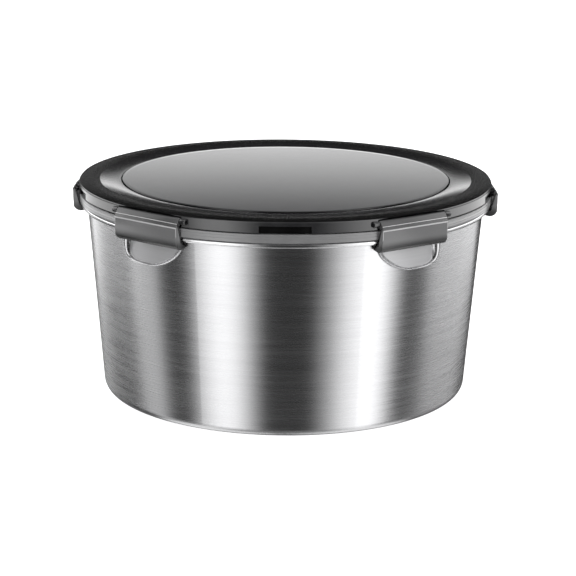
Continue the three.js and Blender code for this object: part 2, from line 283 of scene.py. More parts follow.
def arc(across, up, radius, start, stop):
    """Points of an arc from one angle to another, either way round."""
    steps = max(LEAST_STEPS, math.ceil(abs(stop - start) / ARC_STEP))
    angles = [start + (stop - start) * k / steps for k in range(steps + 1)]
    return [(across + radius * math.cos(a), up + radius * math.sin(a)) for a in angles]


def select_only(piece):
    bpy.ops.object.select_all(action="DESELECT")
    piece.select_set(True)
    bpy.context.view_layer.objects.active = piece


def edit(piece):
    select_only(piece)
    bpy.ops.object.mode_set(mode="EDIT")
    bpy.ops.mesh.select_all(action="SELECT")


def tidy_mesh():
    """Merges what meets, drops loose edges and turns all faces outwards, then leaves edit mode."""
    bpy.ops.mesh.select_all(action="SELECT")
    bpy.ops.mesh.remove_doubles(threshold=MERGE)
    bpy.ops.mesh.delete_loose()
    bpy.ops.mesh.select_all(action="SELECT")
    bpy.ops.mesh.normals_make_consistent(inside=False)
    bpy.ops.object.mode_set(mode="OBJECT")


def ring_of(name, outline, side=0, fill="NOTHING"):
    """A ring of edges along an outline of reach and height, standing at y = side."""
    bpy.ops.object.select_all(action="DESELECT")
    bpy.ops.mesh.primitive_circle_add(vertices=len(outline), fill_type=fill)
    piece = bpy.context.object
    piece.name = name
    for vertex, (across, up) in zip(piece.data.vertices, outline):
        vertex.co = Vector((across, side, up)) * MM
    return piece


def spun(name, corner_list, columns=FINE_COLUMNS):
    """A solid of revolution about the axis of the bowl."""
    piece = ring_of(name, rounded(corner_list))
    select_only(piece)
    screw = piece.modifiers.new("turn", "SCREW")
    screw.steps = columns
    screw.use_merge_vertices = True
    screw.merge_threshold = MERGE
    bpy.ops.object.modifier_apply(modifier=screw.name)
    edit(piece)
    tidy_mesh()
    return piece


def pulled(name, outline, half):
    """A bar of an outline of reach and height, pulled sideways by half each way, facing +X."""
    piece = ring_of(name, outline, -half, "NGON")
    edit(piece)
    bpy.ops.mesh.extrude_region_move(TRANSFORM_OT_translate={"value": (0, 2 * half * MM, 0)})
    tidy_mesh()
    return piece


def turned(piece, angle):
    """Turns a piece about the axis of the bowl, in its mesh."""
    select_only(piece)
    piece.rotation_euler.z = angle
    bpy.ops.object.transform_apply(location=False, rotation=True, scale=False)
    return piece


def copied(piece, name):
    select_only(piece)
    bpy.ops.object.duplicate()
    bpy.context.object.name = name
    return bpy.context.object


def around(piece, angles):
    """The piece at the first angle and copies of it at the others."""
    copies = [copied(piece, piece.name) for _ in angles[1:]]
    return [turned(each, angle) for each, angle in zip([piece, *copies], angles)]


def joined(pieces):
    """One object of pieces that lie apart."""
    select_only(pieces[0])
    for piece in pieces:
        piece.select_set(True)
    bpy.ops.object.join()
    return pieces[0]


def shaped_by(piece, operation, *tools):
    """Cuts the tools from a piece or joins them to it; the tools are used up."""
    for tool in tools:
        select_only(piece)
        modifier = piece.modifiers.new(operation.lower(), "BOOLEAN")
        modifier.operation = operation
        modifier.solver = "MANIFOLD"
        modifier.object = tool
        bpy.ops.object.modifier_apply(modifier=modifier.name)
        bpy.data.objects.remove(tool)
    return piece


def ends_rounded(piece, radius, segments=2, end_normal=0.9):
    """Rounds the edges of both ends of a pulled bar; an end faces along y by at least end_normal."""
    edit(piece)
    bpy.ops.mesh.select_mode(type="FACE")
    bpy.ops.mesh.select_all(action="DESELECT")
    bpy.ops.object.mode_set(mode="OBJECT")
    for face in piece.data.polygons:
        face.select = abs(face.normal.y) > end_normal
    bpy.ops.object.mode_set(mode="EDIT")
    bpy.ops.mesh.region_to_loop()
    bpy.ops.mesh.bevel(offset=radius * MM, segments=segments, affect="EDGES")
    bpy.ops.mesh.select_mode(type="VERT")
    tidy_mesh()
    return piece


def smoothed(piece):
    select_only(piece)
    bpy.ops.object.shade_smooth_by_angle(angle=SMOOTH_ANGLE)
    return piece


def finished(piece, body, node, slot, *materials):
    """Gives a piece its materials and its body, and hides the node that it stands for."""
    smoothed(piece)
    piece.data.materials.clear()
    for material in materials:
        piece.data.materials.append(material)
    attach(piece, body)
    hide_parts(node)
    return piece


def painted(piece, number, chosen):
    """Gives another of its materials to the faces chosen by place, in millimetres, and normal."""
    for face in piece.data.polygons:
        if chosen(face.center / MM, face.normal):
            face.material_index = number


# Shader nodes


class Wire:
    """A socket of a node tree; sums and products of wires add Math nodes."""

    # Sockets of a Mix node that mixes colours
    FACTOR = 0
    FIRST_COLOUR = 6
    SECOND_COLOUR = 7
    MIXED_COLOUR = 2

    def __init__(self, tree, socket=None):
        self.tree = tree
        self.socket = socket

    def node(self, kind, settings=None, inputs=None, output=0):
        """A new node: its settings first, then the values or wires of its inputs; gives one output."""
        made = self.tree.nodes.new(kind)
        for name, value in (settings or {}).items():
            setattr(made, name, value)
        for name, value in (inputs or {}).items():
            if isinstance(value, Wire):
                self.tree.links.new(value.socket, made.inputs[name])
            else:
                made.inputs[name].default_value = value
        return Wire(self.tree, made.outputs[output])

    def math(self, operation, *values):
        return self.node("ShaderNodeMath", {"operation": operation}, dict(enumerate(values)))

    def __add__(self, other):
        return self.math("ADD", self, other)

    __radd__ = __add__

    def __sub__(self, other):
        return self.math("SUBTRACT", self, other)

    def __rsub__(self, other):
        return self.math("SUBTRACT", other, self)

    def __mul__(self, other):
        return self.math("MULTIPLY", self, other)

    __rmul__ = __mul__

    def smooth(self, low, high):
        """0 at low and 1 at high, with a smooth rise between."""
        return self.node(
            "ShaderNodeMapRange",
            {"interpolation_type": "SMOOTHSTEP"},
            {"Value": self, "From Min": low, "From Max": high},
        )

    def span(self, start, full, fading, end):
        """0 up to start, 1 from full to fading and 0 from end on, with smooth slopes between."""
        return self.smooth(start, full) * self.smooth(end, fading)

    def blend(self, first, second):
        """One colour into another as this wire goes from 0 to 1."""
        sockets = {self.FACTOR: self, self.FIRST_COLOUR: first, self.SECOND_COLOUR: second}
        return self.node("ShaderNodeMix", {"data_type": "RGBA"}, sockets, self.MIXED_COLOUR)


def new_material(name, constants):
    """A material whose principled shader has its constant sockets set; gives it, the shader and a wire."""
    material = bpy.data.materials.new(name)
    material.use_nodes = True
    tree = material.node_tree
    shader = tree.nodes["Principled BSDF"]
    for socket, value in constants.items():
        shader.inputs[socket].default_value = value
    return material, shader, Wire(tree)


def feed(shader, links):
    for socket, wire in links.items():
        wire.tree.links.new(wire.socket, shader.inputs[socket])


def grain(start, stretch, detail=2):
    """Noise on object coordinates, with its cells counted per metre along x, y and z."""
    place = start.node("ShaderNodeTexCoord", output="Object")
    scaled = start.node("ShaderNodeMapping", None, {"Vector": place, "Scale": stretch})
    return start.node("ShaderNodeTexNoise", None, {"Vector": scaled, "Scale": 1, "Detail": detail})


def bumped(start, height, strength, distance):
    inputs = {"Height": height, "Strength": strength, "Distance": distance}
    return start.node("ShaderNodeBump", None, inputs, "Normal")


def shared(first, second, share):
    """So much of the first wire and the rest of the second."""
    return first * share + second * (1 - share)


def grey(level, blue=0):
    """A grey with a little more blue in it."""
    return (level, level, level + blue, 1)


# Finishes, with grains in cells per metre
NOISE_MIDDLE = 0.5
FINE_BRUSHING = (45, 45, 2600)
FINE_DETAIL = 3
BROAD_BRUSHING = (16, 16, 420)
STEEL_SHADES = (grey(0.58, 0.01), grey(0.66, 0.01))
STEEL_TONES = (0.3, 0.7)
STEEL_ROUGHNESS = 0.27
FINE_ROUGHNESS = 0.1
BROAD_ROUGHNESS = 0.05
FINE_TONE = 0.6
FINE_BUMP = 0.7
BUMP_STRENGTH = 0.045
BUMP_DISTANCE = 0.0001
MATT_SHADES = (grey(0.58, 0.01), grey(0.62, 0.01))
MATT_ROUGHNESS = 0.46
MATT_SPREAD = 0.06
MATT_EDGE = (0.6, 0.95)

MOULDED_SKIN = (2200, 2200, 2200)
MOULDED_CLOUD = (90, 90, 90)
CLOUD_TONES = (0.35, 0.65)
# Latch colours run from painted shade to lit; the hook fade and the arm shade place the painted shade
LATCH_SHADED_TO_LIT = (grey(0.04, 0.001), grey(0.24, 0.003))
LATCH_ROUGHNESS = 0.22
LATCH_SPREAD = 0.08
LATCH_PAINTED_SHADE_SHARE = 0.9
HOOK_PAINTED_SHADE_FADE = (2, 6.5)
ARM_PAINTED_SHADE = 0.7

FLOOR_CLOUD = (3, 3, 3)
FLOOR_SHADES = (grey(0.9), grey(0.93))


def brushed_steel():
    """Steel brushed round the bowl; the floors of the pressed recesses are matt."""
    material, shader, start = new_material(
        "brushed_steel", {"Metallic": 1, "Anisotropic": 0.82, "Anisotropic Rotation": 0.25}
    )
    fine = grain(start, FINE_BRUSHING, FINE_DETAIL)
    broad = grain(start, BROAD_BRUSHING)
    pressed = start.node("ShaderNodeAttribute", {"attribute_name": "pressed"}, None, "Fac")
    brushed = 1 - pressed
    uneven = (fine - NOISE_MIDDLE) * FINE_ROUGHNESS + (broad - NOISE_MIDDLE) * BROAD_ROUGHNESS
    ridges = shared(fine, broad, FINE_BUMP) * brushed
    tone = shared(fine, broad, FINE_TONE).smooth(*STEEL_TONES)
    feed(
        shader,
        {
            "Base Color": tone.blend(*STEEL_SHADES),
            "Roughness": STEEL_ROUGHNESS + uneven * brushed,
            "Normal": bumped(start, ridges, BUMP_STRENGTH, BUMP_DISTANCE),
        },
    )
    matt = start.node(
        "ShaderNodeBsdfPrincipled",
        None,
        {
            "Metallic": 1,
            "Base Color": tone.blend(*MATT_SHADES),
            "Roughness": MATT_ROUGHNESS + fine * MATT_SPREAD,
        },
    )
    polished = Wire(start.tree, shader.outputs[0])
    on_floor = pressed.smooth(*MATT_EDGE)
    surface = start.node("ShaderNodeMixShader", None, {0: on_floor, 1: polished, 2: matt})
    feed(start.tree.nodes["Material Output"], {"Surface": surface})
    return material


def lined_steel(name, lines, detail, shades, roughness, spread):
    """Steel with fine lines, as rolling or drawing leaves them."""
    material, shader, start = new_material(name, {"Metallic": 1})
    line = grain(start, lines, detail)
    feed(shader, {"Base Color": line.blend(*shades), "Roughness": roughness + line * spread})
    return material


def latch_plastic():
    """Smoke plastic with painted shade: coloured darker towards the hook and on the arm."""
    material, shader, start = new_material("latch_smoke", {})
    place = start.node("ShaderNodeTexCoord", output="Object")
    height = start.node("ShaderNodeSeparateXYZ", None, {0: place}, "Z")
    # Painted shade: darker towards the hook and on the arm
    lit_above_hook = height.smooth(*((latch_bottom + rise) * MM for rise in HOOK_PAINTED_SHADE_FADE))
    arm_shade_mask = height.smooth((crease_height - FACE_INSET) * MM, (crease_height + FACE_INSET) * MM)
    painted_lit = lit_above_hook * (1 - arm_shade_mask * ARM_PAINTED_SHADE)
    skin = grain(start, MOULDED_SKIN)
    cloud = grain(start, MOULDED_CLOUD)
    shade = shared(painted_lit, cloud, LATCH_PAINTED_SHADE_SHARE).blend(*LATCH_SHADED_TO_LIT)
    feed(shader, {"Base Color": shade, "Roughness": LATCH_ROUGHNESS + skin * LATCH_SPREAD})
    return material


def moulded(name, shades, roughness, spread, specular=0.5):
    """Moulded plastic: a little cloud in its colour, and a fine even skin."""
    material, shader, start = new_material(name, {"Specular IOR Level": specular})
    cloud = grain(start, MOULDED_CLOUD)
    skin = grain(start, MOULDED_SKIN)
    feed(
        shader,
        {
            "Base Color": cloud.smooth(*CLOUD_TONES).blend(*shades),
            "Roughness": roughness + (skin - NOISE_MIDDLE) * spread,
        },
    )
    return material


# Bowl


def wall_radius(height):
    return BASE_RADIUS + wall_taper * height


def wall_rows(low, high, step, inset):
    """Points on the wall at even heights, from low to high or back."""
    count = round(abs(high - low) / step)
    heights = [low + (high - low) * k / count for k in range(count + 1)]
    return [(wall_radius(height) - inset, height, 0) for height in heights]


def bowl_outline():
    row_foot = RECESS_BOTTOM - LIP_ROW
    lip_end = RECESS_BOTTOM + RECESS_LIP_HEIGHT
    return [
        (0, 0, 0),
        (BASE_RADIUS, 0, BASE_EDGE),
        *wall_rows(row_foot, lip_end, LIP_ROW, 0)[:-1],
        *wall_rows(lip_end, RECESS_TOP, OUTER_ROW, 0),
        (RIM_RADIUS, WALL_HEIGHT, LIP_ROUND),
        (bead_outer, WALL_HEIGHT, BEAD_ROUND),
        (bead_outer, bead_top, BEAD_ROUND),
        (RIM_RADIUS, bead_top, LIP_ROUND),
        (RIM_RADIUS, lip_top, LIP_ROUND),
        (RIM_RADIUS - SHEET, lip_top, LIP_ROUND),
        *wall_rows(WALL_HEIGHT, row_foot, INNER_ROW, SHEET),
        (BASE_RADIUS - SHEET, SHEET, BASE_EDGE - SHEET),
        (0, SHEET, 0),
    ]


def column_angles():
    """The angles of the bowl's columns: close together across each recess, wide apart between them."""
    half = (RECESS_SHIFT + RECESS_OUTER_HALF + RECESS_MARGIN) / RIM_RADIUS
    middles = sorted(turn % math.tau for turn in latch_turns)
    following = [*middles[1:], middles[0] + math.tau]
    angles = []
    for here, there in zip(middles, following):
        angles.extend(np.linspace(here - half, here + half, RECESS_COLUMNS, endpoint=False))
        angles.extend(np.linspace(here + half, there - half, PLAIN_COLUMNS, endpoint=False))
    return np.array(angles)


def inside_recess(outwards, up):
    """How far a place on the wall lies inside the edge of a recess, measured as at its inner side.

    The recess is widest at its shoulder; a long foot lies below that and a short round top above.
    Towards the front its foot rises in a long curve, and away from it the side is steep and square."""
    foot = RECESS_SHOULDER - RECESS_BOTTOM
    cap = RECESS_TOP - RECESS_SHOULDER
    apart = outwards - RECESS_SHIFT
    squareness = np.where(apart > 0, RECESS_OUTER_SQUARENESS, RECESS_INNER_SQUARENESS)
    beside = np.abs(apart) / np.where(apart > 0, RECESS_OUTER_HALF, RECESS_INNER_HALF)
    beyond = np.abs(up - RECESS_SHOULDER) / np.where(up > RECESS_SHOULDER, cap, foot)
    reached = (beside**squareness + beyond**squareness) ** (1 / squareness)
    return (1 - reached) * RECESS_INNER_HALF


def pressed_share(inside):
    """How deep the wall is pressed, from 0 at the edge of a recess to 1 on its floor.

    A round lip turns the wall inwards, a straight slope follows and a hollow leads to the floor."""
    lip_run = RECESS_LIP * math.sin(RECESS_SLOPE)
    lip_drop = RECESS_LIP * (1 - math.cos(RECESS_SLOPE))
    hollow_run = RECESS_HOLLOW * math.sin(RECESS_SLOPE)
    hollow_drop = RECESS_HOLLOW * (1 - math.cos(RECESS_SLOPE))
    slope_run = (RECESS_DEPTH - lip_drop - hollow_drop) / math.tan(RECESS_SLOPE)
    on_lip = np.clip(inside, 0, lip_run)
    on_slope = np.clip(inside - lip_run, 0, slope_run)
    to_floor = np.clip(lip_run + slope_run + hollow_run - inside, 0, hollow_run)
    drop = RECESS_LIP - np.sqrt(RECESS_LIP**2 - on_lip**2)
    drop = drop + on_slope * math.tan(RECESS_SLOPE)
    drop = drop + np.sqrt(RECESS_HOLLOW**2 - to_floor**2) - RECESS_HOLLOW * math.cos(RECESS_SLOPE)
    return drop / RECESS_DEPTH


def press_recesses(piece):
    """Gathers the columns at the recesses, then presses the wall in there."""
    mesh = piece.data
    angles = column_angles()
    place = np.zeros(len(mesh.vertices) * 3)
    mesh.vertices.foreach_get("co", place)
    place = place.reshape(-1, 3) / MM
    radius = np.hypot(place[:, 0], place[:, 1])
    even_angle = np.arctan2(place[:, 1], place[:, 0])
    column = np.rint(even_angle * len(angles) / math.tau).astype(int) % len(angles)
    angle = angles[column]
    share = np.zeros(len(radius))
    risen = np.clip((place[:, 2] - RECESS_BOTTOM) / (RECESS_TOP - RECESS_BOTTOM), 0, 1)
    depth = RECESS_FOOT_DEPTH + (RECESS_DEPTH - RECESS_FOOT_DEPTH) * risen
    for turn in latch_turns:
        apart = (angle - turn + math.pi) % math.tau - math.pi
        away_from_front = math.copysign(RIM_RADIUS, math.cos(turn))
        inside = inside_recess(apart * away_from_front, place[:, 2])
        share = np.maximum(share, pressed_share(inside * RECESS_DEPTH / depth))
    radius = radius - depth * share
    place[:, 0] = radius * np.cos(angle)
    place[:, 1] = radius * np.sin(angle)
    mesh.vertices.foreach_set("co", (place * MM).ravel())
    pressed = mesh.attributes.new("pressed", "FLOAT", "POINT")
    pressed.data.foreach_set("value", share)
    mesh.update()


def on_bead(place, _):
    return place.xy.length > RIM_RADIUS + LIP_ROUND and WALL_HEIGHT < place.z < bead_top


def make_bowl(brushed, rolled):
    columns = len(latch_turns) * (RECESS_COLUMNS + PLAIN_COLUMNS)
    piece = spun("steel_bowl", bowl_outline(), columns)
    press_recesses(piece)
    finished(piece, "bowl", "bowl_shell", "steel", brushed, rolled)
    painted(piece, 1, on_bead)


# Collar


def collar_line(share):
    """A fine line run round the outside of the collar, at a share of its height."""
    height = collar_bottom + (collar_top - collar_bottom) * share
    edge = COLLAR_LINE_HALF + COLLAR_LINE_EDGE
    return [
        (collar_outer, height - edge, 0),
        (collar_outer, height - COLLAR_LINE_HALF, 0),
        (collar_outer - COLLAR_LINE_DEPTH, height, 0),
        (collar_outer, height + COLLAR_LINE_HALF, 0),
        (collar_outer, height + edge, 0),
    ]


def make_collar(plastic):
    slot_inner = RIM_RADIUS - SHEET - FIT_GAP
    slot_outer = RIM_RADIUS + FIT_GAP
    slot_top = lip_top + FIT_GAP
    outline = [
        (collar_inner, collar_bottom, SMALL_ROUND),
        (slot_inner, collar_bottom, SMALL_ROUND),
        (slot_inner, slot_top, SMALL_ROUND),
        (slot_outer, slot_top, SMALL_ROUND),
        (slot_outer, collar_bottom, SMALL_ROUND),
        (collar_outer, collar_bottom, COLLAR_ROUND),
        *(point for share in COLLAR_LINES for point in collar_line(share)),
        (collar_outer, collar_top - COLLAR_FALL, COLLAR_ROUND),
        (collar_outer - COLLAR_FALL_WIDTH, collar_top, SMALL_ROUND),
        (collar_inner, collar_top, COLLAR_ROUND),
    ]
    finished(spun("grey_collar", outline), "bowl", "rim_collar", "collar", plastic)


# Hinges


def on_hinge(radius, angle):
    """A place at a distance from the line of a hinge, as reach and height."""
    return Vector((hinge_reach, hinge_height)) + radius * Vector((math.cos(angle), math.sin(angle)))


def touch_angle(across, up, side):
    """The angle where a line from a point touches the knuckle, on one side of the pin or the other."""
    dx = across - hinge_reach
    dz = up - hinge_height
    return math.atan2(dz, dx) + side * math.acos(KNUCKLE_RADIUS / math.hypot(dx, dz))


def round_bar(name, radius, half):
    """A bar round the line of a hinge."""
    return pulled(name, arc(hinge_reach, hinge_height, radius, 0, math.tau)[:-1], half)


# Lid


def band_curve():
    """The dished band between the crown and the panel, from the outside in."""
    shares = [1 - k / BAND_STEPS for k in range(BAND_STEPS + 1)]
    rise = BAND_SINK - CROWN_SAG
    return [(band_inner + BAND_WIDTH * s, band_floor + rise * s**BAND_BEND, 0) for s in shares]


def lid_outline():
    return [
        (ledge_inner, ledge_bottom, SMALL_ROUND),
        (plug_inner, ledge_bottom, SMALL_ROUND),
        (plug_inner, plug_bottom, SMALL_ROUND),
        (flange_outer, plug_bottom, SMALL_ROUND),
        (flange_outer, groove_bottom, SMALL_ROUND),
        (plug_outer, groove_bottom, SMALL_ROUND),
        (plug_outer, groove_top, SMALL_ROUND),
        (flange_outer, groove_top, SMALL_ROUND),
        (flange_outer, groove_top + FLANGE_THICKNESS, SMALL_ROUND),
        (plug_outer, groove_top + FLANGE_THICKNESS, SMALL_ROUND),
        (plug_outer, roof_underside, SMALL_ROUND),
        (skirt_inner, roof_underside, SMALL_ROUND),
        (skirt_inner, skirt_bottom, SMALL_ROUND),
        (skirt_outer, skirt_bottom, SKIRT_ROUND),
        (skirt_outer, skirt_bottom + SKIRT_ROUND + SKIRT_FLAT_EDGE, 0),
        (skirt_outer, edge_top - EDGE_ROUND - SKIRT_FLAT_EDGE, 0),
        (skirt_outer, edge_top, EDGE_ROUND),
        (skirt_outer - CROWN_RIDGE, crown_top, CROWN_ROUND),
        *band_curve(),
        (band_inner, ledge_top, SMALL_ROUND),
        (ledge_inner, ledge_top, SMALL_ROUND),
    ]


def pocket_outline():
    """The room for a latch: open outwards, with a round hollow behind the knuckle.

    The roof over the knuckle slants up just clear of the arm of an open latch."""
    hollow = KNUCKLE_RADIUS + KNUCKLE_GAP
    below = skirt_bottom - FIT_GAP
    above = crown_top + FIT_GAP
    lifted = touch_angle(latch_outer, crease_height, 1) + swing
    roof_start = on_hinge(hollow, lifted)
    roof_end = roof_start.x - (above - roof_start.y) * math.tan(lifted)
    return [
        (pocket_back, below),
        (latch_outer, below),
        (latch_outer, above),
        (roof_end, above),
        *arc(hinge_reach, hinge_height, hollow, lifted, math.pi),
    ]


def notch_cutters():
    below = skirt_bottom - FIT_GAP
    above = skirt_bottom + NOTCH_HEIGHT
    outline = rectangle(skirt_outer - NOTCH_DEPTH, below, skirt_outer + SKIRT_WALL, above)
    for angle, width in notches:
        yield turned(pulled("notch_cutter", outline, width / 2), angle)


def in_notch(place):
    """Whether a place on the skirt lies inside a notch."""
    if place.xy.length > skirt_outer - NOTCH_SKIN or place.z > skirt_bottom + NOTCH_HEIGHT + NEAR:
        return False
    sides = [(Matrix.Rotation(-angle, 2) @ place.xy, width) for angle, width in notches]
    return any(side.x > 0 and abs(side.y) < width / 2 + NEAR for side, width in sides)


def on_band(place, _):
    return band_inner < place.xy.length < crown_inner and place.z > ledge_top + FIT_GAP


# Faces in a notch keep the satin black: painted shade in place of a cut through the skirt
def on_skirt(place, _):
    below_edge = place.z < edge_top - SMALL_ROUND
    return place.xy.length > pocket_back and below_edge and not in_notch(place)


def make_lid(satin, gloss, smoke):
    piece = spun("black_lid", lid_outline())
    wall = rectangle(pocket_back - POCKET_WALL, skirt_bottom, pocket_back, roof_underside + FIT_GAP)
    walls = around(pulled("pocket_wall", wall, ear_end), latch_turns)
    ear = ends_rounded(round_bar("ear", EAR_RADIUS, ear_end), EAR_ROUND)
    shaped_by(piece, "UNION", joined(walls), joined(around(ear, latch_turns)))
    pockets = around(pulled("pocket", pocket_outline(), pocket_half), latch_turns)
    bores = around(round_bar("bore", PIN_RADIUS + FIT_GAP, ear_end + EAR_LENGTH), latch_turns)
    shaped_by(piece, "DIFFERENCE", joined(pockets), joined(bores), joined(list(notch_cutters())))
    finished(piece, "lid", "lid_frame", "frame", satin, gloss, smoke)
    painted(piece, 1, on_band)
    painted(piece, 2, on_skirt)


def panel_edge(share):
    """A point on the bevelled edge of the panel, from its rim inwards."""
    return (panel_radius - PANEL_EDGE_WIDTH * share, panel_top - PANEL_EDGE_DROP * (1 - share), 0)


def on_panel_side(place, _):
    return place.xy.length > panel_radius - PANEL_EDGE_ROUND


def make_panel(glass, gloss):
    outline = [
        (0, panel_bottom, 0),
        (panel_radius, panel_bottom, SMALL_ROUND),
        (panel_radius, panel_top - PANEL_EDGE_DROP, PANEL_EDGE_ROUND),
        *(panel_edge(share) for share in PANEL_EDGE_RINGS),
        (panel_radius - PANEL_EDGE_WIDTH - SMALL_ROUND, panel_top, 0),
        (0, panel_top, 0),
    ]
    piece = finished(spun("grey_panel", outline), "lid", "lid_panel", "panel", glass, gloss)
    painted(piece, 1, on_panel_side)


def make_seal(rubber):
    middle = (seal_bottom + seal_top) / 2
    outline = [
        (seal_inner, seal_bottom, SMALL_ROUND),
        (seal_outer - SEAL_LIP, seal_bottom, SMALL_ROUND),
        (seal_outer, seal_bottom + SEAL_LIP, SMALL_ROUND),
        (seal_outer - SEAL_LIP, middle, SMALL_ROUND),
        (seal_outer, seal_top - SEAL_LIP, SMALL_ROUND),
        (seal_outer - SEAL_LIP, seal_top, SMALL_ROUND),
        (seal_inner, seal_top, SMALL_ROUND),
    ]
    finished(spun("ring_seal", outline), "lid", "lid_seal", "seal", rubber)


# Latches

# How far sideways the normal of a slanting end of a latch points
FACET_NORMAL_LEAST = 0.3
FACET_NORMAL_MOST = 0.6


def arm_line():
    """The crease, the way from there along the top of the arm to the knuckle, and the way out of the arm."""
    crease = Vector((latch_outer, crease_height))
    along = on_hinge(KNUCKLE_RADIUS, touch_angle(latch_outer, crease_height, 1)) - crease
    return crease, along, Vector((along.y, -along.x)).normalized()


def latch_outline():
    """A section of a latch: hook, flat face, raised crease, ribbed arm, knuckle and the block inside."""
    tip = math.sqrt(hook_inner**2 - LATCH_HALF**2) - FIT_GAP
    face = latch_outer - FACE_INSET
    arm_underside = crease_height - ARM_DROP
    arm_top = touch_angle(latch_outer, crease_height, 1)
    arm_under = touch_angle(latch_inner, arm_underside, -1) + math.tau
    foot = arc(
        latch_outer - LATCH_BOTTOM_ROUND,
        latch_bottom + LATCH_BOTTOM_ROUND,
        LATCH_BOTTOM_ROUND - FACE_INSET,
        -math.pi / 2,
        0,
    )
    knuckle = arc(hinge_reach, hinge_height, KNUCKLE_RADIUS, arm_top, arm_under)
    crease, along, outwards = arm_line()
    raised = outwards * RIB_HEIGHT
    return rounded([
        (tip, latch_bottom + HOOK_RISE, SMALL_ROUND),
        (latch_outer - LATCH_BOTTOM_ROUND, latch_bottom, 0),
        *((x, z, 0) for x, z in foot),
        (face, crease_height - RIDGE_HEIGHT, 0),
        (latch_outer, crease_height - FACE_INSET, FACE_INSET / 2),
        (*crease, FACE_INSET / 2),
        (*(crease + along * RIB_START), 0),
        (*(crease + along * RIB_START + raised), 0),
        (*(crease + along * RIB_STOP + raised), 0),
        (*(crease + along * RIB_STOP), 0),
        *((x, z, 0) for x, z in knuckle),
        (latch_inner, arm_underside, SMALL_ROUND),
        (tip, arm_underside - BLOCK_DROP, SMALL_ROUND),
    ])


def rim_clearance():
    """The room for the rim of the bowl and its collar behind a latch."""
    low = latch_bottom - FIT_GAP
    reach = collar_outer + LATCH_GAP
    return spun("rim_clearance", [
        (0, low, 0),
        (hook_inner, low, 0),
        (hook_inner, hook_top, 0),
        (reach, hook_top, 0),
        (reach, crease_height, 0),
        (0, crease_height, 0),
    ])


def facets_cut(piece):
    """Cuts a slanting facet at each end of the face: nothing at the crease, most at the bottom."""
    edit(piece)
    for side in (1, -1):
        crease_end = Vector((latch_outer, side * LATCH_HALF, crease_height))
        on_face = Vector((latch_outer, side * (LATCH_HALF - FACET_WIDTH), latch_bottom))
        on_end = Vector((latch_outer - FACET_DEPTH, side * LATCH_HALF, latch_bottom))
        outwards = side * (on_face - crease_end).cross(on_end - crease_end)
        bpy.ops.mesh.select_all(action="SELECT")
        bpy.ops.mesh.bisect(
            plane_co=crease_end * MM, plane_no=outwards.normalized(), use_fill=True, clear_outer=True
        )
    tidy_mesh()
    return piece


def latch_shape():
    piece = ends_rounded(pulled("snap_latch", latch_outline(), LATCH_HALF), LATCH_END_ROUND)
    facets_cut(piece)
    bore = round_bar("pin_bore", PIN_RADIUS + FIT_GAP, ear_end)
    return shaped_by(piece, "DIFFERENCE", rim_clearance(), bore)


def pin_shape():
    return ends_rounded(round_bar("hinge_pin", PIN_RADIUS, ear_end - PIN_RECESS), PIN_BEVEL)


def is_painted_highlight(place, normal):
    """Whether a face of a latch that faces +X gets the painted highlight: on its crease, its rib or an end
    of its front.
    """
    crease, along, outwards = arm_line()
    across = place.xz - crease
    share = across.dot(along) / along.length_squared
    on_rib = RIB_START - NEAR < share < RIB_STOP + NEAR and across.dot(outwards) > NEAR
    in_front = place.x > latch_outer - RIDGE_HEIGHT and place.z < crease_height + FACE_INSET
    on_crease = place.z > crease_height - RIDGE_HEIGHT and place.x > latch_outer - FACE_INSET
    on_facet = FACET_NORMAL_LEAST < abs(normal.y) < FACET_NORMAL_MOST
    on_end = on_facet and place.z > latch_bottom + LATCH_BOTTOM_ROUND
    return on_rib or in_front and (on_crease or on_end)


# The edge material is the painted highlight on the latches
def make_latches(smoke, edge, wire):
    latches = around(latch_shape(), latch_turns)
    pins = around(pin_shape(), latch_turns)
    for joint, turn, latch, pin in zip(hinges, latch_turns, latches, pins):
        node = bodies[joint["child"]][0]
        number = node.rsplit("_", 1)[1]
        latch.name = f"snap_latch_{number}"
        pin.name = f"pin_{number}"
        finished(latch, joint["child"], node, "latch", smoke, edge)
        back = Matrix.Rotation(-turn, 3, "Z")
        # Painted highlight: the light material on the crease, rib and end facets
        painted(latch, 1, lambda place, normal: is_painted_highlight(back @ place, back @ normal))
        finished(pin, "lid", f"hinge_pin_{number}", "pin", wire)


# Camera, as fitted to the photograph, and the size of the floor.
# Lengths are in metres and angles in radians; the width of the sensor is in millimetres.
CAMERA_TURN = math.radians(1.6)
CAMERA_PAN = -0.0017
CAMERA_TILT = 0.2568
CAMERA_ROLL = 0.0088
CAMERA_BACK = 1.056
CAMERA_HEIGHT = 0.33015
FOCAL_PIXELS = 1988.41
FRAME_PIXELS = 576
SENSOR_WIDTH = 36
FLOOR_SIZE = 12


def make_camera():
    data = bpy.data.cameras.new("camera")
    data.sensor_width = SENSOR_WIDTH
    data.lens = SENSOR_WIDTH * FOCAL_PIXELS / FRAME_PIXELS
    data.clip_end = 2 * FLOOR_SIZE
    camera = bpy.data.objects.new("camera", data)
    bpy.context.scene.collection.objects.link(camera)
    camera.matrix_world = (
        Matrix.Rotation(CAMERA_TURN, 4, "Z")
        @ Matrix.Translation((0, -CAMERA_BACK, CAMERA_HEIGHT))
        @ Matrix.Rotation(CAMERA_PAN, 4, "Z")
        @ Matrix.Rotation(math.pi / 2 - CAMERA_TILT, 4, "X")
        @ Matrix.Rotation(CAMERA_ROLL, 4, "Z")
    )
    bpy.context.scene.camera = camera


def make_floor():
    """A pale floor that the bowl stands on and doesn't mirror."""
    bpy.ops.object.select_all(action="DESELECT")
    bpy.ops.mesh.primitive_plane_add(size=FLOOR_SIZE)
    floor = bpy.context.object
    floor.name = "floor"
    material, shader, start = new_material("pale_floor", {"Emission Strength": 0.9, "Roughness": 0.9})
    shade = grain(start, FLOOR_CLOUD, detail=1).blend(*FLOOR_SHADES)
    feed(shader, {"Base Color": shade, "Emission Color": shade})
    floor.data.materials.append(material)
    floor.visible_glossy = False
    floor.visible_diffuse = False


